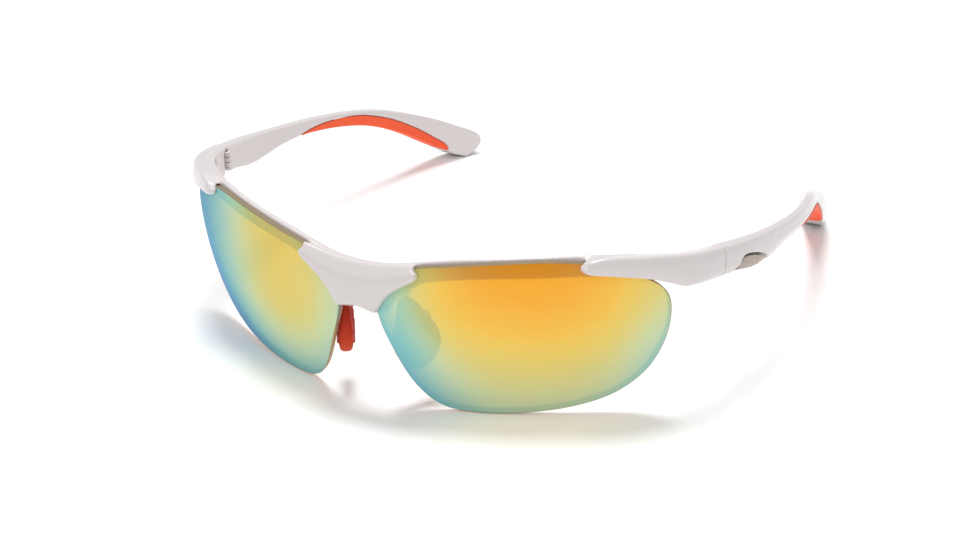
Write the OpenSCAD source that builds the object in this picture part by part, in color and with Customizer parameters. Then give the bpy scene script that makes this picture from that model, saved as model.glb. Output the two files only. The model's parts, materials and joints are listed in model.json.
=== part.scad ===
// Wraparound sport sunglasses: a half-rim front with two lenses under a brow bar, and two folding
// temples with soft ear grips. The glasses stand as they rest on a table with the temples open:
// +X towards the wearer's left, -Y to the front, +Z up, the table at Z = 0.

/* [Lenses] */
// Radius of the one sphere that both lens fronts lie on
lens_radius = 82.8; // [82:0.1:84]
// Thickness of a lens
lens_thickness = 1.6; // [1.4:0.1:1.8]

/* [Front] */
// How far the bridge and endpieces stand proud of the lens fronts
front_proud = 2; // [1.6:0.1:2.4]
// Thickness of the brow bar behind the lenses
brow_thickness = 2.7; // [2:0.1:3]
// Slope of the front's upper face, down towards the wearer
brow_tilt = 26; // [20:1:30]
// Slope of an endpiece's upper face, down towards the wearer
endpiece_tilt = 12; // [8:1:16]

/* [Hinges] */
// Outer radius of a hinge knuckle
knuckle_radius = 1.15; // [1.05:0.05:1.25]
// Radius of the hinge screw's shank
hinge_screw_radius = 0.5; // [0.4:0.05:0.6]
// Height of the whole stack of knuckles
hinge_height = 4.2; // [4:0.1:4.4]

/* [Nose pads] */
// Thickness of a nose pad
pad_thickness = 2.7; // [2:0.1:3]
// Angle that each pad flares outwards towards the face
pad_splay = 31.5; // [28:0.5:34]
// Radius of the wire that carries a pad
pad_wire_radius = 0.6; // [0.4:0.05:0.7]

/* [Temples] */
// Slope of the line between a temple and its ear grip, down towards the outside
grip_tilt = 20; // [12:1:24]
// Depth of the metal badge that is let into a temple
badge_depth = 0.8; // [0.5:0.1:1]
// Gap between an endpiece and its temple
hinge_gap = 0.3; // [0.2:0.05:0.5]

/* [Hidden] */
$fn = 96;
white = "whitesmoke";
orange = "orangered";
steel = "silver";
tint = "gold";

fit_gap = 0.05;
far = 200;
steps = 4;

// Middle of the lens sphere
sphere_y = 3.4;
sphere_z = 35.1;

// Hinge axis, upright and just inside the seam, and the two faces of the seam
hinge_x = 67.9;
hinge_y = -31;
seam_front = hinge_y - hinge_gap / 2;
seam_back = hinge_y + hinge_gap / 2;

// Shells of the front, from the inside out
bar_outer = lens_radius - lens_thickness - 2 * fit_gap;
bar_inner = bar_outer - brow_thickness;
front_outer = lens_radius + front_proud;

// Front view of the left lens: X and Z
lens_shape = [
    [5, 27.6], [7.8, 34.8], [14, 39.5], [22, 41], [33, 42.3], [44, 42.7], [53, 41.1], [60.7, 37],
    [64.5, 32.8], [65.3, 27], [63.9, 19.1], [60, 11], [53.5, 5], [45, 1.9], [35, 0.4], [25, 0.06],
    [17.5, 1.5], [12.3, 7.2], [8.2, 17]
];
lens_middle = [35, 21];
slot_growth = 1.008;

// Front view of half the bridge: its top, its hooked side and its arch over the nose
bridge_top = [[0, 40.2], [8, 40.6], [15, 41.6]];
bridge_side = [
    [14.3, 40.3], [15.6, 39], [15, 37.6], [12.6, 36], [9.4, 33.8], [7, 31], [5.1, 27.6]
];
bridge_arch = [[2.6, 28.3], [0, 28.8]];

// Front view of half the brow bar, as it would meet the face of the lenses
bar_top = [[0, 39.7], [7, 40.1], [14, 41.4], [24, 43.1], [36, 44.1], [48, 44.3], [58, 43.5]];
bar_bottom = [[58, 38.8], [46, 39.3], [30, 38.8], [20, 37.6], [13, 36], [0, 34]];

// Plan of the left side, from the endpiece's hook to the temple's tip: X and Y
outer_front = [
    [45, -68.5], [49.8, -65.2], [55.7, -60.4], [61.6, -54.7], [65.9, -49], [68.8, -43.2],
    [70.8, -37], [72, seam_front]
];
inner_front = [
    [43, -63], [50, -57.6], [55.5, -52.6], [60, -47.6], [63.8, -42], [66.2, -36.6],
    [67.6, seam_front]
];
outer_temple = [
    [72, seam_back], [73.7, -20], [74.5, -8], [74.7, 4], [74.3, 16], [72.9, 27], [70.4, 38], [67.3, 49],
    [65, 60], [62.5, 70], [59.6, 78], [58.2, 81]
];
inner_temple = [
    [67.6, seam_back], [69.6, -20], [71, -8], [71.4, 4], [71, 16], [69.5, 27], [66.9, 38], [63.6, 49],
    [60, 60], [56, 70], [52.4, 78], [51, 81]
];

// Endpiece seen along its own middle direction: distance along it and Z. It bows outwards from
// endpiece_reach by endpiece_bow for each squared millimetre away from endpiece_middle.
view_turn = 60;
endpiece_reach = 81.6;
endpiece_bow = 0.0115;
endpiece_middle = -11;
endpiece_top = [
    [-28.7, 43.4], [-25, 43.9], [-20, 43.5], [-12, 42.4], [-4, 40.8], [4, 39.2], [12, 37.7]
];
endpiece_heel = [[12, 29.9], [6, 31.3], [1, 32], [-4.7, 32.8]];
endpiece_bottom = [
    [-5.3, 33], [-9, 34.8], [-14, 36.9], [-20, 38.5], [-25, 39.5], [-28.9, 40.2], [-30.4, 41.5],
    [-29.7, 42.7]
];

// Side view of the left temple: Y and Z
temple_top = [
    [-34, 38.7], [-20, 35.8], [-5, 32.9], [10, 30.2], [24, 27.8], [35, 25.8], [45, 23.3], [55, 19.5],
    [65, 15], [73, 10.7], [78.6, 7.5], [80.9, 4.9], [79.8, 1.9], [76, 0]
];
temple_bottom = [
    [72, 1.8], [68.7, 4.2], [62, 8.4], [54, 13.3], [46, 17.4], [38, 20.6], [29, 22.9], [20, 24.6],
    [10, 26], [0, 26.5], [-10, 26.6], [-17, 27.4], [-25, 29.6], [-34, 31.4]
];
grip_top = [
    [8, 25], [11, 26.1], [20, 26.3], [29, 25.5], [36, 24.2], [43, 21.9], [50, 18.7], [58, 13.9],
    [65.7, 8.2], [68.8, 5.4], [69.6, 2]
];
badge_shape = [
    [-26.4, 29.9], [-23.9, 30.8], [-22.8, 32.3], [-20.5, 32.4], [-15.5, 30.8], [-11, 28.8],
    [-8.9, 27.4], [-9.8, 26.4], [-14, 26.5], [-20, 28]
];

// Hinge knuckles, leaves and screw
hinge_floor = 32.6;
knuckle_gap = 0.1;
knuckle_height = (hinge_height - 2 * knuckle_gap) / 3;
knuckle_room = 0.35;
corner_room = 0.65;
leaf_inset = 0.5;
leaf_thickness = 0.8;
leaf_length = 7;
leaf_turn = -10;
screw_head_radius = 0.85;
screw_head_height = 0.5;

// Nose pads, their carrier and its screw
pad_origin = [6, -75];
pad_shape = [
    [4.6, 29.2], [6.8, 27], [9, 24.2], [11.6, 20.4], [12.8, 15.6], [11.2, 10.9], [7.6, 9.2],
    [4.2, 10.9], [2, 15], [1.6, 20], [2.2, 25.5], [3, 28.4]
];
pivot_x = 8;
pivot_z = 31.8;
wire_y = -70.8;
wire_foot = 17;
pivot_radius = 0.8;
pivot_front = -74.2;
carrier_half_width = 10.2;
carrier_back = -71.6;
carrier_bottom = 29.9;
carrier_height = 5.5;
nose_screw_z = 34;
nose_screw_radius = 0.75;
nose_screw_tip = -79;
nose_screw_head = 1.4;

// One point of a smooth curve that runs from b to c, with a and d as its neighbours
function curve_point(a, b, c, d, t) =
    b + t * (c - a) / 2 + t * t * (2 * a - 5 * b + 4 * c - d) / 2
    + t * t * t * (3 * b - 3 * c + d - a) / 2;

// Smooth open curve through the points p
function smooth(p, n = steps) = concat(
    [for (i = [0 : len(p) - 2], k = [0 : n - 1])
        curve_point(p[max(i - 1, 0)], p[i], p[i + 1], p[min(i + 2, len(p) - 1)], k / n)],
    [p[len(p) - 1]]
);

// Smooth closed curve through the points p
function smooth_loop(p, n = steps) = [
    for (i = [0 : len(p) - 1], k = [0 : n - 1])
        curve_point(
            p[(i + len(p) - 1) % len(p)], p[i], p[(i + 1) % len(p)], p[(i + 2) % len(p)], k / n
        )
];

function reversed(p) = [for (i = [len(p) - 1 : -1 : 0]) p[i]];
function flipped(p) = [for (q = p) [-q[0], q[1]]];
function both_sides(p) = concat(p, reversed(flipped(p)));

// The left side is drawn; side = -1 mirrors it to the wearer's right
module sided(side) {
    mirror([side < 0 ? 1 : 0, 0, 0]) children();
}

// Stands an outline of X and Z up and draws it out along Y, through the front half only
module front_view() {
    rotate([90, 0, 0]) linear_extrude(far) children();
}

// The same, but sloping down towards the wearer
module sloped_view(tilt) {
    rotate([90 - tilt, 0, 0]) linear_extrude(far) children();
}

// Y of the point of a sphere round the lens middle that lies in front of a point of X and Z
function sphere_front(q, radius) =
    sphere_y - sqrt(radius * radius - q[0] * q[0] - pow(q[1] - sphere_z, 2));

// An outline of X and Z that lies on a sphere, as sloped_view() has to draw it
function on_front(p, radius) = [
    for (q = p) [q[0], q[1] * cos(brow_tilt) + sphere_front(q, radius) * sin(brow_tilt)]
];

// An outline of an endpiece that lies on its bowed outer face, as sloped_view() has to draw it
function on_endpiece(p) = [
    for (q = p) let (bow = endpiece_bow * pow(q[0] - endpiece_middle, 2))
        [q[0], q[1] * cos(endpiece_tilt) - (endpiece_reach - bow) * sin(endpiece_tilt)]
];

// Stands an outline of Y and Z up and draws it out along X, through the left half only
module side_view() {
    rotate([90, 0, 90]) linear_extrude(far) children();
}

// Spherical shell round the middle of the lens sphere
module shell(inner, outer) {
    translate([0, sphere_y, sphere_z]) difference() {
        sphere(outer, $fn = 256);
        sphere(inner, $fn = 256);
    }
}

module lens_blank(inner, outer, growth) {
    intersection() {
        shell(inner, outer);
        front_view() translate(lens_middle) scale(growth) translate(-lens_middle)
            polygon(smooth_loop(lens_shape));
    }
}

module lens_body() {
    lens_blank(lens_radius - lens_thickness, lens_radius, 1);
}

// Room that the front leaves for a lens
module lens_slot() {
    lens_blank(lens_radius - lens_thickness - fit_gap, lens_radius + fit_gap, slot_growth);
}

module bridge() {
    half = concat(smooth(bridge_top), smooth(bridge_side), bridge_arch);
    intersection() {
        shell(bar_inner, front_outer);
        sloped_view(brow_tilt) polygon(on_front(both_sides(half), front_outer));
    }
}

module brow_bar() {
    half = concat(smooth(bar_top), smooth(bar_bottom));
    intersection() {
        shell(bar_inner, bar_outer);
        sloped_view(brow_tilt) polygon(on_front(both_sides(half), lens_radius));
    }
}

// Plan of one stretch of the side, up and down through the whole height
module plan(outer, inner) {
    linear_extrude(far / 2) polygon(concat(smooth(outer), reversed(smooth(inner))));
}

module endpiece() {
    intersection() {
        plan(outer_front, inner_front);
        rotate([0, 0, view_turn]) sloped_view(endpiece_tilt)
            polygon(on_endpiece(concat(
                smooth(endpiece_top), smooth(endpiece_heel), smooth(endpiece_bottom)
            )));
    }
}

// Upright cylinder on the hinge's axis
module on_hinge(radius, bottom, height) {
    translate([hinge_x, hinge_y, bottom]) cylinder(r = radius, h = height);
}

// Room for the knuckles, open below, and a narrow relief that lets the inner corners pass
module hinge_room() {
    on_hinge(knuckle_radius + knuckle_room, 0, hinge_floor + hinge_height + knuckle_gap);
    on_hinge(corner_room, 0, far / 2);
}

module front_frame() {
    color(white) difference() {
        union() {
            bridge();
            brow_bar();
            for (side = [-1, 1]) sided(side) endpiece();
        }
        for (side = [-1, 1]) sided(side) {
            lens_slot();
            hinge_room();
            leaf_plate(-1, fit_gap);
        }
        nose_screw_bore(nose_screw_radius + fit_gap);
    }
}

module lens(side) {
    color(tint) sided(side) lens_body();
}

// Straight hole or shank on the nose screw's line
module nose_screw_bore(radius) {
    translate([0, nose_screw_tip, nose_screw_z]) rotate([-90, 0, 0])
        cylinder(r = radius, h = carrier_back - nose_screw_tip);
}

module nose_carrier() {
    color(white) difference() {
        intersection() {
            translate([-carrier_half_width, -far, carrier_bottom])
                cube([2 * carrier_half_width, far + carrier_back, carrier_height]);
            translate([0, sphere_y, sphere_z]) sphere(bar_inner - fit_gap, $fn = 256);
        }
        nose_screw_bore(nose_screw_radius + 2 * fit_gap);
        for (side = [-1, 1]) sided(side) pivot_pin(pivot_radius + fit_gap, -far);
    }
}

module nose_carrier_screw() {
    color(steel) {
        nose_screw_bore(nose_screw_radius);
        translate([0, carrier_back + fit_gap, nose_screw_z]) rotate([-90, 0, 0])
            cylinder(r = nose_screw_head, h = screw_head_height);
        translate([0, carrier_back - fit_gap, nose_screw_z]) rotate([-90, 0, 0])
            cylinder(r = nose_screw_radius, h = screw_head_height);
    }
}

// Fore-and-aft pin that a pad swings on
module pivot_pin(radius, front) {
    translate([pivot_x, front, pivot_z]) rotate([-90, 0, 0])
        cylinder(r = radius, h = wire_y + pivot_radius - front);
}

module wire_shank(radius, foot) {
    translate([pivot_x, wire_y, foot]) cylinder(r = radius, h = pivot_z - foot);
}

module nose_wire(side) {
    color(steel) sided(side) {
        pivot_pin(pivot_radius, pivot_front);
        wire_shank(pad_wire_radius, wire_foot);
    }
}

module nose_pad(side) {
    color(orange) sided(side) difference() {
        translate([pad_origin[0], pad_origin[1], 0]) rotate([0, 0, 90 - pad_splay])
            translate([0, pad_thickness / 2, 0]) rotate([90, 0, 0])
            linear_extrude(pad_thickness) polygon(smooth_loop(pad_shape));
        wire_shank(pad_wire_radius + fit_gap, wire_foot - 0.5);
    }
}

// Flat plate of a leaf that runs forwards (way = -1) or backwards (way = 1) from the knuckles.
// The plate in the temple stops below the upper knuckle, where the temple gets lower.
module leaf_plate(way, gap) {
    height = way > 0 ? 2 * knuckle_height + knuckle_gap : hinge_height;
    translate([hinge_x, hinge_y, hinge_floor - gap]) rotate([0, 0, leaf_turn])
        translate([leaf_inset - gap, way > 0 ? 0 : -leaf_length - gap, 0])
        cube([leaf_thickness + 2 * gap, leaf_length + gap, height + 2 * gap]);
}

// Bottom of knuckle i, counted upwards
function knuckle_floor(i) = hinge_floor + i * (knuckle_height + knuckle_gap);

module leaf(way, own, other) {
    color(steel) difference() {
        union() {
            difference() {
                leaf_plate(way, 0);
                for (i = other) on_hinge(
                    knuckle_radius + knuckle_room, knuckle_floor(i) - knuckle_gap,
                    knuckle_height + 2 * knuckle_gap
                );
            }
            for (i = own) on_hinge(knuckle_radius, knuckle_floor(i), knuckle_height);
        }
        on_hinge(hinge_screw_radius + fit_gap, 0, far / 2);
    }
}

module front_hinge_leaf(side) {
    sided(side) leaf(-1, [0, 2], [1]);
}

module temple_hinge_leaf(side) {
    sided(side) leaf(1, [1], [0, 2]);
}

// The screw goes in from below, so its head is at the bottom
module hinge_screw(side) {
    color(steel) sided(side) {
        on_hinge(hinge_screw_radius, hinge_floor - 2 * fit_gap, hinge_height + 2 * fit_gap);
        on_hinge(screw_head_radius, hinge_floor - fit_gap - screw_head_height, screw_head_height);
    }
}

// The same, but sloping down towards the outside
module tilted_side_view(tilt) {
    rotate([0, tilt, 0]) side_view() children();
}

// Temple, grip and badge share one plan; each takes its own outline out of it
module temple_slice() {
    intersection() {
        plan(outer_temple, inner_temple);
        side_view() children();
    }
}

module temple_outline() {
    polygon(concat(smooth(temple_top), smooth(temple_bottom)));
}

// X of a temple's inner face at a place along it
function inner_x(y) = lookup(y, [for (p = inner_temple) [p[1], p[0]]]);

// Everything below the surface where a grip begins, which meets the inner face along grip_top
module grip_room() {
    tilted_side_view(grip_tilt) polygon([
        for (q = smooth(grip_top)) [q[0], q[1] * cos(grip_tilt) + inner_x(q[0]) * sin(grip_tilt)]
    ]);
}

module badge_plate() {
    intersection() {
        temple_slice() polygon(smooth_loop(badge_shape));
        difference() {
            translate([0, 0, -1]) cube([far, far, far], center = true);
            translate([-badge_depth, 0, 0]) plan(outer_temple, inner_temple);
        }
    }
}

module temple(side) {
    color(white) sided(side) difference() {
        temple_slice() temple_outline();
        grip_room();
        badge_plate();
        hinge_room();
        leaf_plate(1, fit_gap);
    }
}

module ear_grip(side) {
    color(orange) sided(side) intersection() {
        temple_slice() temple_outline();
        grip_room();
    }
}

module badge(side) {
    color(steel) sided(side) badge_plate();
}

front_frame();
lens(1);  // lens_left
lens(-1);  // lens_right
nose_carrier();
nose_carrier_screw();
nose_wire(1);  // nose_wire_left
nose_wire(-1);  // nose_wire_right
nose_pad(1);  // nose_pad_left
nose_pad(-1);  // nose_pad_right
front_hinge_leaf(1);  // front_hinge_leaf_left
front_hinge_leaf(-1);  // front_hinge_leaf_right
hinge_screw(1);  // hinge_screw_left
hinge_screw(-1);  // hinge_screw_right
temple_hinge_leaf(1);  // temple_hinge_leaf_left
temple_hinge_leaf(-1);  // temple_hinge_leaf_right
temple(1);  // temple_left
temple(-1);  // temple_right
ear_grip(1);  // ear_grip_left
ear_grip(-1);  // ear_grip_right
badge(1);  // badge_left
badge(-1);  // badge_right
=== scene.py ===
"""Wraparound sport sunglasses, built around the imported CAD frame.

The moulded parts are grown from the CAD solids as distance fields: a field is rounded, faceted,
parted from its neighbours and turned into one closed mesh. The lenses are ground from the sphere
that the CAD lenses lie on. Lengths inside this file are millimetres until a mesh is made.
"""

import json
import math

import bmesh
import bpy
import numpy as np
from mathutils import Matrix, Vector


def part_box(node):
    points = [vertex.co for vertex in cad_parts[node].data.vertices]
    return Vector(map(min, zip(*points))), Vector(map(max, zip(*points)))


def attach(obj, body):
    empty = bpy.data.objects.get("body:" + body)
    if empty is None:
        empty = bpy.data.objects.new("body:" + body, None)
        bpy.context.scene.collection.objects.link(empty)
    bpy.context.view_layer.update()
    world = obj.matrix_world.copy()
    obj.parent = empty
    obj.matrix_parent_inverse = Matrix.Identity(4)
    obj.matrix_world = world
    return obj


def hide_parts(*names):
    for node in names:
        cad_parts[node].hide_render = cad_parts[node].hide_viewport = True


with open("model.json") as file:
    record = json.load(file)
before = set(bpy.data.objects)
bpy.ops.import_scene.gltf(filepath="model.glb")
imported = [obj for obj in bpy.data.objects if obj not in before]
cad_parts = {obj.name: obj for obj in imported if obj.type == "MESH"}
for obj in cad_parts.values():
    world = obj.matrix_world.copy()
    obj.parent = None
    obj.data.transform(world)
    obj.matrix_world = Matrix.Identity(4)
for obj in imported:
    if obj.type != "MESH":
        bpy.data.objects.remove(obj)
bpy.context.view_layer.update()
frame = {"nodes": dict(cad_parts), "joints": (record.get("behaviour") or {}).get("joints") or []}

import openvdb
from mathutils import Matrix, Vector

METRE = 1000.0
FINE = 1.0
SIDES = ("left", "right")

# The sphere that both lens fronts lie on
LENS_CENTRE = np.array([0.0, 3.4, 35.1])
LENS_RADIUS = 82.8
BRIDGE_RADIUS = 84.8

# Widths of the parting lines, and how soft the moulded edges are
SEAM = 0.08
PARTING = 0.12
EDGE_SOFTNESS = 0.32
PARTED_SOFTNESS = 0.14

# Moulded forms are fattened by this much, which makes up for what softening takes off their edges
FATTENING = 0.08


# ---------------------------------------------------------------- distance fields


def box_mm(*nodes):
    """Lowest and highest corner of some CAD nodes together."""
    corners = [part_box(node) for node in nodes]
    low = np.min([c[0] for c in corners], axis=0) * METRE
    high = np.max([c[1] for c in corners], axis=0) * METRE
    return low, high


def cad_triangles(node):
    mesh = frame["nodes"][node].data
    mesh.calc_loop_triangles()
    points = np.empty(len(mesh.vertices) * 3, np.float32)
    mesh.vertices.foreach_get("co", points)
    triangles = np.empty(len(mesh.loop_triangles) * 3, np.int32)
    mesh.loop_triangles.foreach_get("vertices", triangles)
    return points.reshape(-1, 3) * METRE, triangles.reshape(-1, 3)


def relaxed(points, quads, rounds):
    """Evens a mesh out without shrinking it: each round averages one step in and one step out."""
    edges = np.vstack([quads[:, [k, (k + 1) % 4]] for k in range(4)]).astype(np.int64)
    edges = np.unique(np.sort(edges, axis=1), axis=0)
    first, second = edges[:, 0], edges[:, 1]
    count = len(points)
    degree = np.bincount(first, minlength=count) + np.bincount(second, minlength=count)
    for _ in range(rounds):
        for share in (0.55, -0.57):
            mean = np.empty_like(points)
            for axis in range(3):
                line = points[:, axis]
                total = np.bincount(first, line[second], count)
                mean[:, axis] = (total + np.bincount(second, line[first], count)) / degree
            points = points + share * (mean - points)
    return points


class Grid:
    """A block of evenly spaced points. Distances on it are negative inside a solid."""

    def __init__(self, low, high, voxel):
        self.voxel = voxel * FINE
        self.band = 3.2
        self.first = np.floor(np.array(low) / self.voxel).astype(int)
        last = np.ceil(np.array(high) / self.voxel).astype(int)
        self.shape = tuple(int(n) for n in last - self.first + 1)
        axes = [(self.first[k] + np.arange(self.shape[k])) * self.voxel for k in range(3)]
        self.x = axes[0].astype(np.float32)[:, None, None]
        self.y = axes[1].astype(np.float32)[None, :, None]
        self.z = axes[2].astype(np.float32)[None, None, :]

    def solid(self, *nodes):
        """Distance to the union of some CAD nodes."""
        total = None
        width = math.ceil(self.band / self.voxel)
        for node in nodes:
            points, triangles = cad_triangles(node)
            level = openvdb.FloatGrid.createLevelSetFromPolygons(
                points,
                triangles=triangles,
                transform=openvdb.createLinearTransform(self.voxel),
                halfWidth=width,
            )
            values = np.empty(self.shape, np.float32)
            level.copyToArray(values, ijk=tuple(int(n) for n in self.first))
            total = values if total is None else np.minimum(total, values)
        return total

    def soften(self, values, softness):
        """Rounds edges and corners over about this many millimetres."""
        sigma = max(softness / self.voxel, 0.5)
        reach = math.ceil(2.5 * sigma)
        weights = np.exp(-0.5 * (np.arange(-reach, reach + 1) / sigma) ** 2)
        weights = (weights / weights.sum()).astype(np.float32)
        for axis in range(3):
            edges = [(0, 0)] * 3
            edges[axis] = (reach, reach)
            padded = np.pad(values, edges, mode="edge")
            values = np.zeros_like(values)
            for k, weight in enumerate(weights):
                cut = [slice(None)] * 3
                cut[axis] = slice(k, k + values.shape[axis])
                values += weight * padded[tuple(cut)]
        return values

    def mesh(self, name, values):
        """A smooth mesh of the surface where the distance is nothing, in metres."""
        level = openvdb.FloatGrid(self.band)
        level.copyFromArray(
            np.ascontiguousarray(np.clip(values, -self.band, self.band), np.float32),
            ijk=tuple(int(n) for n in self.first),
        )
        level.gridClass = openvdb.GridClass.LEVEL_SET
        level.transform = openvdb.createLinearTransform(self.voxel)
        points, quads = level.convertToQuads(0.0)
        points = relaxed(points.astype(float), quads, 8)
        made = bpy.data.meshes.new(name)
        made.from_pydata((points / METRE).tolist(), [], quads[:, ::-1].tolist())
        made.validate()
        bm = bmesh.new()
        bm.from_mesh(made)
        bmesh.ops.recalc_face_normals(bm, faces=bm.faces)
        if bm.calc_volume(signed=True) < 0:
            bmesh.ops.reverse_faces(bm, faces=bm.faces)
        bm.to_mesh(made)
        bm.free()
        return made


def above(values):
    return np.maximum(values, 0)


def running_mean(line, reach):
    """A line of numbers smoothed over reach numbers each way."""
    padded = np.pad(line, reach, mode="edge")
    return np.convolve(padded, np.ones(2 * reach + 1) / (2 * reach + 1), mode="valid")


def side_profile(grid, solid):
    """Top, bottom and outermost X of the wearer's left side, along the grid's Y."""
    inside = (solid < 0) & (grid.x > 40)
    from_side = inside.any(axis=0)
    from_above = inside.any(axis=2)
    filled = from_side.any(axis=1)
    first, last = np.flatnonzero(filled)[[0, -1]]
    heights, widths = grid.z.ravel(), grid.x.ravel()
    top = heights[from_side.shape[1] - 1 - from_side[:, ::-1].argmax(axis=1)]
    bottom = heights[from_side.argmax(axis=1)]
    outer = widths[from_above.shape[0] - 1 - from_above[::-1].argmax(axis=0)]
    place = np.clip(np.arange(len(filled)), first, last)
    reach = max(1, round(1.2 / grid.voxel))
    lines = [running_mean(line[place], reach) for line in (top, bottom, outer)]
    return [line.astype(np.float32)[None, :, None] for line in lines]


def crowned(grid, solid, profile, upper, lower):
    """Leans the outer face in above and below its middle. upper and lower are (width, slope)."""
    top, bottom, outer = profile
    lean = upper[1] * above(grid.z - (top - upper[0]))
    lean = lean + lower[1] * above(bottom + lower[0] - grid.z)
    slope = np.gradient(outer, grid.voxel, axis=1)
    wall = (np.abs(grid.x) - outer + lean) / np.sqrt(1 + slope**2 + 0.1)
    reaches = (np.abs(grid.x) > 44) & (lean > 0)
    return np.where(reaches, np.maximum(solid, wall), solid)


def inward(grid, solid, reach):
    """The solid swept towards the wearer's right, so that it reaches deeper into the left side."""
    step = max(1, round(0.4 / grid.voxel))
    swept = solid
    for k in range(step, round(reach / grid.voxel) + 1, step):
        moved = np.concatenate([solid[k:], np.full_like(solid[:k], grid.band)])
        swept = np.minimum(swept, moved)
    return swept


def closed_seam(grid, solid, seam_y):
    """Fills the gap between an endpiece and its temple, so that both can be rounded as one form."""
    y = grid.y.ravel()
    before = int(np.argmin(np.abs(y - (seam_y - 0.7))))
    after = int(np.argmin(np.abs(y - (seam_y + 0.7))))
    for k in range(before + 1, after):
        share = (k - before) / (after - before)
        solid[:, k] = (1 - share) * solid[:, before] + share * solid[:, after]
    return solid


# ---------------------------------------------------------------- pieces


def placed(name, mesh, materials, body, nodes):
    """Puts a mesh in the scene as a piece that rides on a body and stands for CAD nodes."""
    piece = bpy.data.objects.new(name, mesh)
    bpy.context.scene.collection.objects.link(piece)
    for material in materials:
        mesh.materials.append(material)
    mesh.shade_smooth()
    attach(piece, body)
    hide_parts(*nodes)
    return piece


def mirrored(mesh, name):
    """The same mesh on the wearer's right."""
    slots = np.empty(len(mesh.polygons), np.int32)
    mesh.polygons.foreach_get("material_index", slots)
    copy = mesh.copy()
    copy.name = name
    copy.materials.clear()
    copy.polygons.foreach_set("material_index", slots)
    copy.transform(Matrix.Scale(-1, 4, (1, 0, 0)))
    copy.flip_normals()
    return copy


def both_sides(stem, suffix, mesh, materials, bodies):
    """Places a left mesh and its mirror image for the nodes stem_left and stem_right."""
    meshes = {"left": mesh, "right": mirrored(mesh, f"{stem}_right_{suffix}")}
    for side in SIDES:
        node = f"{stem}_{side}"
        name = f"{node}_{suffix}"
        placed(name, meshes[side], materials[side], bodies[side], [node])


def bridge_facets(grid, solid):
    """Leans the upper face of the bridge back, from a crease with a narrow facet beside it."""
    from_centre = [axis - c for axis, c in zip((grid.x, grid.y, grid.z), LENS_CENTRE)]
    radius = np.sqrt(sum(part**2 for part in from_centre))
    height = grid.z - (35.0 + 0.0145 * grid.x**2)
    facet = 0.9
    lean = 0.2 * np.clip(height, 0, facet) + 0.5 * above(height - facet)
    face = (radius - (BRIDGE_RADIUS - lean)) / math.hypot(1, 0.5)
    return np.where(height > 0, np.maximum(solid, face), solid)


def front_shell(seam_y):
    low, high = box_mm("front_frame")
    grid = Grid(low - 2.5, high + 2.5, 0.27)
    solid = grid.solid("front_frame", "temple_left", "temple_right")
    solid = closed_seam(grid, solid, seam_y)
    solid = bridge_facets(grid, solid)
    profile = side_profile(grid, solid)
    solid = crowned(grid, solid, profile, upper=(1.7, 0.4), lower=(1.6, 0.22))
    solid = grid.soften(solid, EDGE_SOFTNESS) - FATTENING
    solid = np.maximum(solid, grid.y - (seam_y - SEAM / 2))
    solid = grid.soften(solid, PARTED_SOFTNESS)
    return grid.mesh("front_frame_shell", solid)


def side_shells(seam_y):
    """Left temple, ear grip and badge, parted from one continuous form."""
    low, high = box_mm("temple_left", "ear_grip_left", "badge_left")
    grid = Grid(low - 2.5, high + 2.5, 0.21)
    grip = grid.solid("ear_grip_left")
    badge = grid.solid("badge_left")
    whole = np.minimum(grid.solid("temple_left", "front_frame"), np.minimum(grip, badge))
    whole = closed_seam(grid, whole, seam_y)
    profile = side_profile(grid, whole)
    whole = crowned(grid, whole, profile, upper=(1.9, 0.42), lower=(1.6, 0.22))
    whole = grid.soften(whole, EDGE_SOFTNESS + 0.04) - FATTENING

    proud, sunk, badge_depth = 0.08, 0.16, 0.9
    outline = inward(grid, badge, 2.0)
    grip = np.maximum(whole - proud, grip - 0.1)
    badge = np.maximum(np.maximum(whole + sunk, outline + 0.2), -(whole + badge_depth))
    recess = np.maximum(outline - 0.3, -(whole + badge_depth + PARTING))
    temple = np.maximum(whole, seam_y + SEAM / 2 - grid.y)
    temple = np.maximum(temple, PARTING - grip)
    temple = np.maximum(temple, -recess)
    return (
        grid.mesh("temple_left_shell", grid.soften(temple, PARTED_SOFTNESS)),
        grid.mesh("ear_grip_left_rubber", grid.soften(grip, PARTED_SOFTNESS)),
        grid.mesh("badge_left_plate", grid.soften(badge, 0.1)),
    )


def pad_shell():
    """Left nose pad: a soft pillow with low ribs on the side that meets the nose."""
    low, high = box_mm("nose_pad_left")
    grid = Grid(low - 2, high + 2, 0.16)
    pad = grid.soften(grid.solid("nose_pad_left"), 0.55)
    pad = pad - 0.5 * np.exp(-(((grid.z - low[2] - 5.8) / 5.0) ** 2))
    rib_half_width, rib_height = 0.3, 0.42
    middle = (low + high) / 2
    splay = math.radians(31.5)
    from_middle = (grid.x - middle[0], grid.y - middle[1])
    along = from_middle[0] * math.sin(splay) + from_middle[1] * math.cos(splay)
    for height in np.arange(low[2] + 4.2, high[2] - 5, 2.4):
        rib = np.maximum(pad - rib_height, np.abs(grid.z - height) - rib_half_width)
        pad = np.minimum(pad, np.maximum(rib, np.abs(along) - 4.1))
    return grid.mesh("nose_pad_left_rubber", grid.soften(pad, 0.12))


def rounded_part(node, name, voxel, softness, slot_cut=None):
    """A small CAD part with soft edges. slot_cut(grid) is the distance to a driver slot."""
    low, high = box_mm(node)
    grid = Grid(low - 1, high + 1, voxel)
    solid = grid.solid(node)
    if slot_cut:
        solid = np.maximum(solid, -slot_cut(grid))
    return grid.mesh(name, grid.soften(solid, softness))


def upright_slot(grid):
    """Slot across the head of an upright screw, which is at its bottom."""
    low, high = box_mm("hinge_screw_left")
    middle = (low[0] + high[0]) / 2
    return np.maximum(np.abs(grid.x - middle) - 0.17, grid.z - (low[2] + 0.3))


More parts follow.
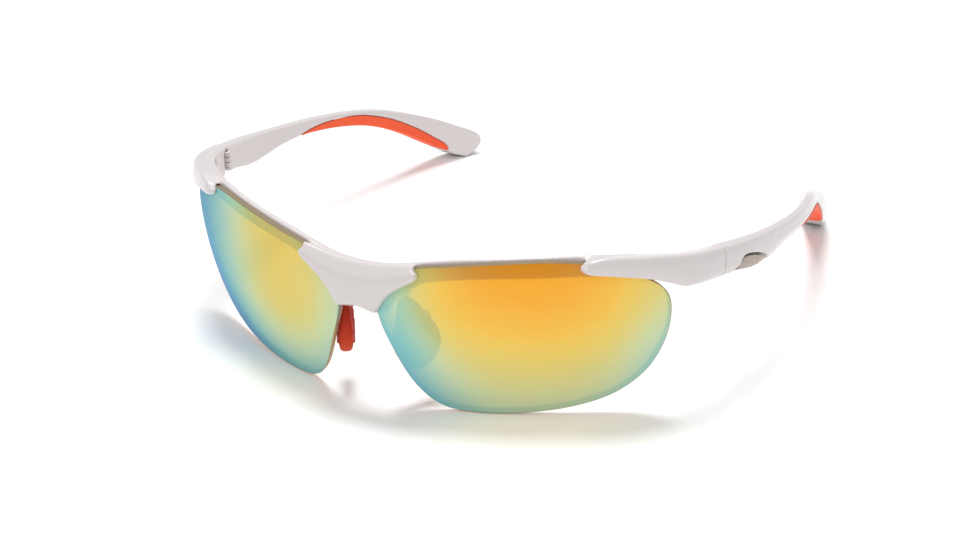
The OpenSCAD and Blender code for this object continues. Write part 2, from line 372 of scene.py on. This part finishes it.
def level_slot(grid):
    """Slot across the back of the nose carrier's screw."""
    low, high = box_mm("nose_carrier_screw")
    middle = (low[2] + high[2]) / 2
    return np.maximum(np.abs(grid.z - middle) - 0.2, high[1] - 0.35 - grid.y)


# ---------------------------------------------------------------- lenses


def lens_rim(node):
    """Corners of a CAD lens's front outline, X and Z, in order round its middle."""
    bm = bmesh.new()
    bm.from_mesh(frame["nodes"][node].data)
    bmesh.ops.remove_doubles(bm, verts=bm.verts, dist=1e-6)
    centre = Vector(LENS_CENTRE / METRE)
    least = (LENS_RADIUS - 0.03) / METRE
    on_front = {v.index for v in bm.verts if (v.co - centre).length > least}
    rim = set()
    for edge in bm.edges:
        faces = [all(v.index in on_front for v in face.verts) for face in edge.link_faces]
        if sorted(faces) == [False, True]:
            rim.update(v.index for v in edge.verts)
    bm.verts.ensure_lookup_table()
    corners = np.array([[bm.verts[k].co.x, bm.verts[k].co.z] for k in sorted(rim)]) * METRE
    bm.free()
    middle = (corners.min(axis=0) + corners.max(axis=0)) / 2
    turn = np.arctan2(corners[:, 1] - middle[1], corners[:, 0] - middle[0])
    return corners[np.argsort(turn)], middle


def lens_outline(node, count):
    """Front outline of a CAD lens: count points of X and Z, evenly spaced and smooth."""
    corners, middle = lens_rim(node)
    closed = np.vstack([corners, corners[:1]])
    along = np.concatenate([[0], np.cumsum(np.linalg.norm(np.diff(closed, axis=0), axis=1))])
    even = np.linspace(0, along[-1], count, endpoint=False)
    loop = np.stack([np.interp(even, along, closed[:, k]) for k in range(2)], axis=1)
    reach = max(1, count // 110)
    wrapped = np.vstack([loop[-reach:], loop, loop[:reach]])
    window = np.ones(2 * reach + 1) / (2 * reach + 1)
    smooth = [np.convolve(wrapped[:, k], window, mode="valid") for k in range(2)]
    return np.stack(smooth, axis=1), middle


def on_lens_sphere(flat, depth):
    """Points of X and Z laid on the lens fronts, then moved inwards and square to them by depth."""
    across = flat - LENS_CENTRE[[0, 2]]
    ahead = -np.sqrt(LENS_RADIUS**2 - (across**2).sum(axis=1))
    outward = np.stack([across[:, 0], ahead, across[:, 1]], axis=1)
    return LENS_CENTRE + outward * (1 - depth / LENS_RADIUS)


def lens_mesh(name):
    """Left lens: two spherical faces joined by a rim with ground edges."""
    count, rings = ((320, 34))
    outline, middle = lens_outline("lens_left", count)
    ahead, behind = np.roll(outline, -1, axis=0), np.roll(outline, 1, axis=0)
    tangent = ahead - behind
    to_middle = np.stack([-tangent[:, 1], tangent[:, 0]], axis=1)
    to_middle /= np.linalg.norm(to_middle, axis=1)[:, None]
    thickness, edge = 1.6, 0.18

    profile = [(edge, 0.0), (edge * 0.3, edge * 0.3), (0.0, edge)]
    profile += [(0.0, thickness - edge), (edge * 0.3, thickness - edge * 0.3), (edge, thickness)]
    bevelled = [on_lens_sphere(outline + inset * to_middle, depth) for inset, depth in profile]
    scales = np.linspace(1, 0, rings + 1)[1:-1]
    inner = outline + edge * to_middle
    front = [on_lens_sphere(middle + s * (inner - middle), 0.0) for s in scales]
    back = [on_lens_sphere(middle + s * (inner - middle), thickness) for s in scales]
    loops = front[::-1] + bevelled + back
    tips = [on_lens_sphere(middle[None], 0.0), on_lens_sphere(middle[None], thickness)]

    points = np.vstack([*loops, *tips]) / METRE
    step = np.arange(count)
    following = (step + 1) % count
    faces, materials = [], []
    for k in range(len(loops) - 1):
        a, b = k * count, (k + 1) * count
        faces += np.stack([a + step, a + following, b + following, b + step], axis=1).tolist()
        place = k - len(front)
        materials += [0 if place < 0 else 2 if place < len(bevelled) - 1 else 1] * count
    front_tip, back_tip = len(points) - 2, len(points) - 1
    last = (len(loops) - 1) * count
    faces += [[front_tip, int(f), int(s)] for s, f in zip(step, following)]
    faces += [[back_tip, int(last + s), int(last + f)] for s, f in zip(step, following)]
    materials += [0] * count + [1] * count

    mesh = bpy.data.meshes.new(name)
    mesh.from_pydata(points.tolist(), [], faces)
    mesh.polygons.foreach_set("material_index", materials)
    bm = bmesh.new()
    bm.from_mesh(mesh)
    bmesh.ops.recalc_face_normals(bm, faces=bm.faces)
    bm.to_mesh(mesh)
    bm.free()
    return mesh


# ---------------------------------------------------------------- materials


def linear(red, green, blue):
    """A colour given in 0 to 255 as a screen shows it, as linear light with full alpha."""
    shown = [c / 255 for c in (red, green, blue)]
    return [c / 12.92 if c <= 0.04045 else ((c + 0.055) / 1.055) ** 2.4 for c in shown] + [1.0]


class Paint:
    """One procedural material: a shader and the nodes that feed it, in object coordinates."""

    def __init__(self, name, **constants):
        self.material = bpy.data.materials.new(name)
        self.material.use_nodes = True
        self.material.cycles.use_bump_map_correction = False
        self.tree = self.material.node_tree
        self.shader = self.tree.nodes["Principled BSDF"]
        self.place = self.tree.nodes.new("ShaderNodeTexCoord").outputs["Object"]
        for socket, value in constants.items():
            self.shader.inputs[socket.replace("_", " ")].default_value = value

    def node(self, kind, links=(), values=(), **settings):
        made = self.tree.nodes.new("ShaderNode" + kind)
        for name, value in settings.items():
            setattr(made, name, value)
        for socket, value in values:
            made.inputs[socket].default_value = value
        for socket, source in links:
            self.tree.links.new(source, made.inputs[socket])
        return made

    def noise(self, scale, detail=3.0, stretch=None):
        place = self.place
        if stretch:
            mapping = self.node("Mapping", [("Vector", place)], [("Scale", stretch)])
            place = mapping.outputs["Vector"]
        values = [("Scale", scale), ("Detail", detail)]
        return self.node("TexNoise", [("Vector", place)], values).outputs["Fac"]

    def between(self, value, low, high):
        """A noise value spread from low to high."""
        values = [("From Min", 0.3), ("From Max", 0.7), ("To Min", low), ("To Max", high)]
        return self.node("MapRange", [("Value", value)], values).outputs["Result"]

    def math(self, operation, first, second):
        made = self.node("Math", operation=operation)
        for socket, value in ((0, first), (1, second)):
            if isinstance(value, (int, float)):
                made.inputs[socket].default_value = value
            else:
                self.tree.links.new(value, made.inputs[socket])
        return made.outputs[0]

    def ramp(self, value, stops):
        """Colours along a value: stops are (place from 0 to 1, colour or grey)."""
        made = self.node("ValToRGB", [("Fac", value)])
        made.color_ramp.interpolation = "B_SPLINE"
        elements = made.color_ramp.elements
        while len(elements) < len(stops):
            elements.new(0.5)
        for element, (place, colour) in zip(elements, stops):
            element.position = place
            grey = isinstance(colour, (int, float))
            element.color = [colour, colour, colour, 1.0] if grey else colour
        return made.outputs["Color"]

    def tinted(self, colour, value, spread):
        """A colour that a noise value lightens and darkens by spread."""
        dark = [c * (1 - spread) for c in colour[:3]] + [1.0]
        light = [min(1.0, c * (1 + spread)) for c in colour[:3]] + [1.0]
        return self.ramp(value, [(0.3, dark), (0.7, light)])

    def feed(self, socket, source):
        self.tree.links.new(source, self.shader.inputs[socket])
        return self

    def bump(self, height, distance, strength=1.0):
        values = [("Strength", strength), ("Distance", distance)]
        made = self.node("Bump", [("Height", height)], values)
        return self.feed("Normal", made.outputs["Normal"])


def white_plastic():
    paint = Paint("white_plastic", Coat_Weight=0.4, Coat_Roughness=0.1)
    paint.feed("Base Color", paint.tinted(linear(208, 201, 201), paint.noise(25, 1), 0.006))
    paint.feed("Roughness", paint.between(paint.noise(40, 1), 0.27, 0.29))
    return paint.bump(paint.noise(420, 2), 0.0000002, 0.3).material


def rubber(name, stops, along, low, high):
    """Soft rubber whose colour runs along one axis, with a fine matt grain."""
    paint = Paint(name, Specular_IOR_Level=0.2)
    axes = paint.node("SeparateXYZ", [("Vector", paint.place)])
    values = [("From Min", low / METRE), ("From Max", high / METRE)]
    place = paint.node("MapRange", [("Value", axes.outputs[along])], values).outputs["Result"]
    patchy = paint.between(paint.noise(300, 4), -0.05, 0.05)
    paint.feed("Base Color", paint.ramp(paint.math("ADD", place, patchy), stops))
    paint.feed("Roughness", paint.between(paint.noise(1500, 3), 0.5, 0.62))
    return paint.bump(paint.noise(4200, 3), 0.000012, 0.6).material


def metal(name, colour, roughness, stretch=None):
    """Fine brushed metal. stretch draws the scratches out along an axis."""
    paint = Paint(name, Metallic=1.0)
    scratches = paint.noise(2500, 4, stretch)
    paint.feed("Base Color", paint.tinted(colour, scratches, 0.08))
    paint.feed("Roughness", paint.between(scratches, roughness - 0.07, roughness + 0.07))
    return paint.bump(scratches, 0.000002, 0.5).material


# The mirror coating from where it is coolest to where it is warmest: place, the colour that the lit
# lens shows, and the share of the surface that reflects. The rest lets amber light through. The
# colours are mostly painted reflection: the colours that the coating reflects at different angles,
# fixed on the lens by place.
COATING_PAINTED_REFLECTION = [
    (0.05, (126, 175, 210), 0.97),
    (0.2, (140, 202, 204), 0.95),
    (0.34, (174, 214, 200), 0.88),
    (0.48, (212, 226, 178), 0.8),
    (0.6, (225, 214, 132), 0.74),
    (0.74, (246, 208, 98), 0.7),
    (0.86, (250, 186, 78), 0.66),
    (0.94, (249, 176, 62), 0.64),
    (1.0, (254, 168, 0), 0.72),
]
AMBER = (1.0, 0.42, 0.0)
LIGHT_ON_LENS, LIGHT_BEHIND = 1.13, 1.05
# Painted reflection: warmth of the coating across a lens, from the nose to the temple, and from the
# bottom up. Each lens gets its own map, for the colours it reflects where it stands.
WARMTH = {
    "left": (
        [(0.1, 0.42), (0.2, 0.66), (0.3, 0.86), (0.42, 0.97), (0.6, 1), (0.78, 0.92), (0.92, 0.6)],
        [(0.02, 0.42), (0.2, 0.56), (0.45, 0.74), (0.68, 0.92), (0.82, 0.94), (0.9, 1)],
    ),
    "right": (
        [
            (0.1, 0.52),
            (0.2, 0.7),
            (0.34, 0.77),
            (0.48, 0.66),
            (0.6, 0.48),
            (0.72, 0.28),
            (0.85, 0.1),
        ],
        [(0.02, 0.47), (0.2, 0.7), (0.45, 0.92), (0.7, 0.92), (0.95, 0.96)],
    ),
}


def reflected(colour, share):
    """What the reflecting share must give, so that it and the amber light make the colour."""
    shown = linear(*colour)[:3]
    through = [(1 - share) * amber * LIGHT_BEHIND for amber in AMBER]
    return [
        min(1.0, max(0.0, (c - t) / (share * LIGHT_ON_LENS))) for c, t in zip(shown, through)
    ] + [1.0]


def seen_through(paint, share, tint):
    """Mixes the shader with clear tint: share is how much of the surface is not clear."""
    output = paint.tree.nodes["Material Output"]
    clear = paint.node("BsdfTransparent", [], [("Color", [*tint, 1.0])]).outputs["BSDF"]
    mix = paint.node("MixShader", [(1, clear), (2, paint.shader.outputs["BSDF"])])
    if isinstance(share, float):
        mix.inputs["Fac"].default_value = share
    else:
        paint.tree.links.new(share, mix.inputs["Fac"])
    paint.tree.links.new(mix.outputs["Shader"], output.inputs["Surface"])


# Painted reflection: the coating's colours are set by place on the lens, not by the angle it is
# seen at
def coating_painted_reflection(side):
    paint = Paint(f"coating_painted_reflection_{side}", Specular_IOR_Level=0.0, Metallic=0.06)
    axes = paint.node("SeparateXYZ", [("Vector", paint.place)])
    across, upward = WARMTH[side]
    reach_x, reach_z = 0.07, 0.045
    sideways = paint.math("DIVIDE", paint.math("ABSOLUTE", axes.outputs["X"], 0.0), reach_x)
    height = paint.math("DIVIDE", axes.outputs["Z"], reach_z)
    warmth = paint.math("ADD", paint.ramp(sideways, across), paint.ramp(height, upward))
    warmth = paint.math("SUBTRACT", warmth, 1.0)
    uneven = paint.between(paint.noise(45, 2), -0.012, 0.012)
    warmth = paint.math("ADD", warmth, uneven)
    stops = [(place, reflected(colour, share)) for place, colour, share in COATING_PAINTED_REFLECTION]
    paint.feed("Base Color", paint.ramp(warmth, stops))
    paint.feed("Roughness", paint.between(paint.noise(400, 3), 0.07, 0.11))
    share = paint.ramp(warmth, [(place, share) for place, _, share in COATING_PAINTED_REFLECTION])
    seen_through(paint, share, AMBER)
    return paint.material


def lens_edge_painted_shade():
    """Edge of a lens: dark smoked plastic, darkened further by painted shade for the shaded strip
    under the brow bar.
    """
    paint = Paint("lens_edge_painted_shade", Specular_IOR_Level=0.3)
    paint.feed("Base Color", paint.tinted(linear(140, 129, 104), paint.noise(120), 0.06))
    paint.feed("Roughness", paint.between(paint.noise(700, 3), 0.3, 0.4))
    seen_through(paint, 0.85, AMBER)
    return paint.material


def smoked_back():
    """Back of a lens: thinly smoked plastic that lets most light through."""
    paint = Paint("smoked_back", Specular_IOR_Level=0.5)
    paint.feed("Base Color", paint.tinted(linear(104, 122, 84), paint.noise(80), 0.05))
    paint.feed("Roughness", paint.between(paint.noise(500, 3), 0.06, 0.1))
    seen_through(paint, 0.16, (1.0, 1.0, 1.0))
    return paint.material


# ---------------------------------------------------------------- the glasses


def joint_point(name):
    joint = next(j for j in frame["joints"] if j["name"] == name)
    return np.array(joint["pos_m"]) * METRE


WHITE = white_plastic()
grip_low, grip_high = box_mm("ear_grip_left")
pad_low, pad_high = box_mm("nose_pad_left")
GRIP = rubber(
    "grip_rubber",
    [(0.0, linear(236, 84, 46)), (1.0, linear(246, 98, 58))],
    "Z",
    grip_low[2],
    grip_high[2],
)
PAD = rubber(
    "pad_rubber",
    [(0.0, linear(206, 74, 30)), (0.35, linear(184, 46, 18)), (1.0, linear(158, 30, 10))],
    "Z",
    pad_low[2],
    pad_high[2],
)
BADGE = metal("badge_metal", linear(150, 138, 128), 0.26, (1.0, 0.04, 1.0))
STEEL = metal("steel", linear(176, 174, 172), 0.3)
BACK, EDGE = smoked_back(), lens_edge_painted_shade()

ARMS = {"left": "left_arm", "right": "right_arm"}
PADS = {"left": "left_nose_pad", "right": "right_nose_pad"}
FRONT = {"left": "front", "right": "front"}


def same(material):
    return {"left": [material], "right": [material]}


seam = joint_point("left_temple_fold")[1]
placed("front_frame_shell", front_shell(seam), [WHITE], "front", ["front_frame"])
temple, grip, badge = side_shells(seam)
both_sides("temple", "shell", temple, same(WHITE), ARMS)
both_sides("ear_grip", "rubber", grip, same(GRIP), ARMS)
both_sides("badge", "plate", badge, same(BADGE), ARMS)
both_sides("nose_pad", "rubber", pad_shell(), same(PAD), PADS)
# Each lens: coating with painted reflection, smoked back, and an edge darkened partly by painted
# shade
COATED = {side: [coating_painted_reflection(side), BACK, EDGE] for side in SIDES}
both_sides("lens", "ground", lens_mesh("lens_left_ground"), COATED, FRONT)

for stem, suffix, bodies, material, slot, voxel, cut in (
    ("front_hinge_leaf", "cast", FRONT, WHITE, "hinge_metal", 0.09, None),
    ("temple_hinge_leaf", "cast", ARMS, WHITE, "hinge_metal", 0.09, None),
    ("hinge_screw", "turned", FRONT, STEEL, "steel", 0.06, upright_slot),
    ("nose_wire", "bent", PADS, STEEL, "steel", 0.1, None),
):
    part = rounded_part(f"{stem}_left", f"{stem}_left_{suffix}", voxel, 0.09, cut)
    both_sides(stem, suffix, part, same(material), bodies)

carrier = rounded_part("nose_carrier", "nose_carrier_moulded", 0.14, 0.25)
placed("nose_carrier_moulded", carrier, [WHITE], "front", ["nose_carrier"])
screw = rounded_part("nose_carrier_screw", "nose_carrier_screw_turned", 0.08, 0.1, level_slot)
placed("nose_carrier_screw_turned", screw, [STEEL], "front", ["nose_carrier_screw"])


# ---------------------------------------------------------------- studio


def studio_floor():
    mesh = bpy.data.meshes.new("floor")
    reach = 6.0
    mesh.from_pydata(
        [(-reach, -reach, 0), (reach, -reach, 0), (reach, reach, 0), (-reach, reach, 0)],
        [],
        [(0, 1, 2, 3)],
    )
    floor = bpy.data.objects.new("floor", mesh)
    bpy.context.scene.collection.objects.link(floor)
    floor.location.z = -0.00005
    paint = Paint("floor_paper", Specular_IOR_Level=0.1)
    paint.feed("Base Color", paint.tinted(linear(250, 250, 250), paint.noise(2), 0.004))
    paint.feed("Roughness", paint.between(paint.noise(30), 0.85, 0.95))
    mesh.materials.append(paint.material)


def soft_light(name, position, size, power):
    light = bpy.data.lights.new(name, "AREA")
    light.shape = "DISK"
    light.size = size
    light.energy = power
    lamp = bpy.data.objects.new(name, light)
    lamp.location = position
    lamp.rotation_mode = "QUATERNION"
    lamp.rotation_quaternion = Vector(position).to_track_quat("Z", "Y")
    bpy.context.scene.collection.objects.link(lamp)


def studio_light():
    world = bpy.data.worlds.new("studio")
    world.use_nodes = True
    world.node_tree.nodes["Background"].inputs["Color"].default_value = (1, 1, 1, 1)
    world.node_tree.nodes["Background"].inputs["Strength"].default_value = 0.5
    bpy.context.scene.world = world
    soft_light("key", (-0.12, 0.1, 1.2), 0.45, 11.0)
    soft_light("front", (0.25, -0.75, 0.85), 0.6, 3.0)


def camera():
    """Looks at a point near the middle of the glasses, from the wearer's front left and above."""
    azimuth, elevation, distance = math.radians(27.39), math.radians(24.87), 0.5648
    target = Vector((0.0028, -0.0184, 0.0111))
    back = Vector(
        (
            math.sin(azimuth) * math.cos(elevation),
            -math.cos(azimuth) * math.cos(elevation),
            math.sin(elevation),
        )
    )
    data = bpy.data.cameras.new("camera")
    data.sensor_width = 36.0
    data.lens = 80.98
    data.clip_start, data.clip_end = 0.01, 50.0
    view = bpy.data.objects.new("camera", data)
    view.location = target + distance * back
    view.rotation_mode = "QUATERNION"
    view.rotation_quaternion = back.to_track_quat("Z", "Y")
    bpy.context.scene.collection.objects.link(view)
    bpy.context.scene.camera = view


studio_floor()
studio_light()
camera()
bpy.context.scene.view_settings.view_transform = "Standard"
